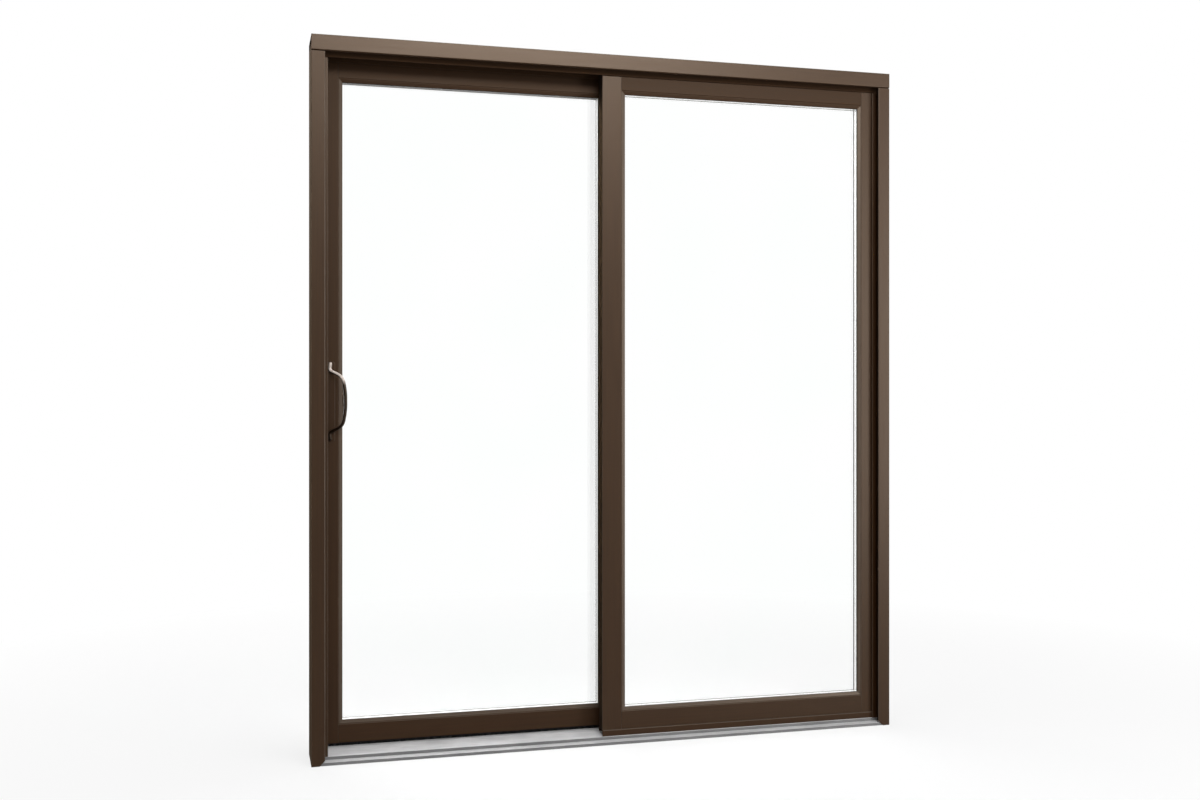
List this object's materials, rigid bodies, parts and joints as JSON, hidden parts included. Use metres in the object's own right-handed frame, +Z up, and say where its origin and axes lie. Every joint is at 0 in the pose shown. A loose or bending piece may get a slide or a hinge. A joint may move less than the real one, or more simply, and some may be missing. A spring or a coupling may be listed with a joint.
{
  "type": "sliding door",
  "caption": "Framed aluminium sliding patio door: one glazed panel slides behind a fixed glazed panel on a sill track, with a bow pull on each side.",
  "frame": {"origin": "middle of the sill's underside, midway between the front and back planes of the frame", "axes": "+Z up, -Y is the outside face seen in the picture, +X to the right seen from outside"},
  "size_m": [1.797, 0.1819, 2.07],
  "materials": {
    "frame_bronze": "satin bronze coating",
    "panel_bronze": "satin bronze coating",
    "sill_aluminium": "clear anodised",
    "pull_bronze": "semi-gloss bronze coating",
    "glass": "clear",
    "spacer_metal": "mill",
    "vinyl": "matt",
    "pile": "woven pile",
    "plastic": "matt",
    "steel": "brushed"
  },
  "bodies": {
    "frame": {"head": "frame_bronze", "left_jamb": "frame_bronze", "right_jamb": "frame_bronze", "sill": "sill_aluminium", "roller_track": "steel", "sill_filler": "panel_bronze", "fixed_meeting_stile": "panel_bronze", "fixed_jamb_stile": "panel_bronze", "fixed_top_rail": "panel_bronze", "fixed_bottom_rail": "panel_bronze", "fixed_outer_pane": "glass", "fixed_inner_pane": "glass", "fixed_spacer": "spacer_metal", "fixed_vinyl": "vinyl", "fixed_packers": "plastic", "lock_keeper": "steel", "open_stop": "vinyl", "head_pile": "pile", "jamb_pile": "pile", "sill_pile": "pile"},
    "sliding_panel": {"sliding_lock_stile": "panel_bronze", "sliding_meeting_stile": "panel_bronze", "sliding_top_rail": "panel_bronze", "sliding_bottom_rail": "panel_bronze", "sliding_outer_pane": "glass", "sliding_inner_pane": "glass", "sliding_spacer": "spacer_metal", "sliding_vinyl": "vinyl", "outside_pull": "pull_bronze", "inside_pull": "pull_bronze", "lock_faceplate": "steel", "left_carriage": "steel", "right_carriage": "steel", "left_wheels": "steel", "right_wheels": "steel", "thumb_latch": "pull_bronze", "sliding_brush": "pile"}
  },
  "joints": [
    {"name": "panel_slide", "type": "slide", "parent": "frame", "child": "sliding_panel", "axis": [1, 0, 0], "range_m": [0, 0.745]}
  ]
}
